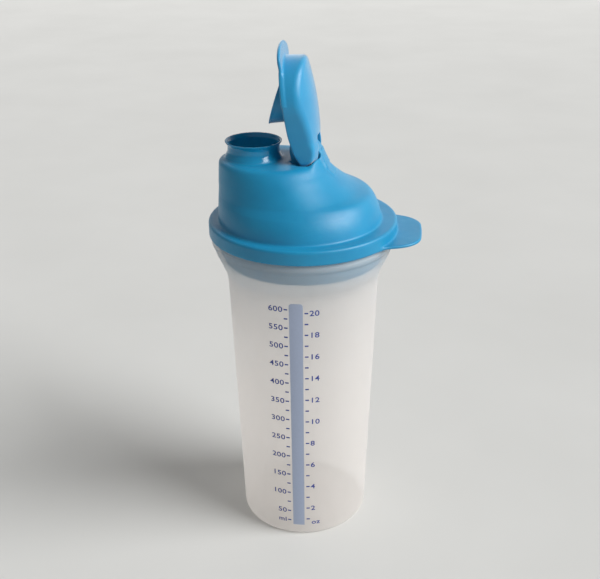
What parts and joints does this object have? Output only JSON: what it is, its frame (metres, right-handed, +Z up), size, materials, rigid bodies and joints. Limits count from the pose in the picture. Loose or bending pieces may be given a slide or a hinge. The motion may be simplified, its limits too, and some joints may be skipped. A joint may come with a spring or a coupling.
{
  "type": "protein shaker bottle",
  "caption": "Shaker bottle: tapered translucent tumbler with a printed volume scale, press-on domed lid with spout and pull tab, hinged flip cap and clip-in mixing wheel.",
  "frame": {"origin": "centre of the flat underside of the tumbler, on its axis", "axes": "+Z up along the tumbler's axis, +X towards the lid's pull tab, -X towards the spout, -Y towards the printed scale"},
  "size_m": [0.1128, 0.0996, 0.2731],
  "materials": {
    "clear_plastic": "frosted translucent",
    "blue_plastic": "satin",
    "blue_cap_plastic": "satin",
    "wheel_plastic": "satin"
  },
  "bodies": {
    "tumbler_body": {"tumbler": "clear_plastic"},
    "lid_body": {"lid": "blue_plastic"},
    "cap_body": {"flip_cap": "blue_cap_plastic"},
    "wheel_body": {"mixing_wheel": "wheel_plastic"}
  },
  "joints": [
    {"name": "lid_lift", "type": "slide", "parent": "tumbler_body", "child": "lid_body", "axis": [0, 0, 1], "range_m": [0, 0.06]},
    {"name": "cap_flip", "type": "hinge", "parent": "lid_body", "child": "cap_body", "pos_m": [0.0011, 0, 0.2198], "axis": [0, -1, 0], "range_deg": [0, 83]},
    {"name": "wheel_pull", "type": "slide", "parent": "lid_body", "child": "wheel_body", "axis": [0, 0, -1], "range_m": [0, 0.02]}
  ]
}
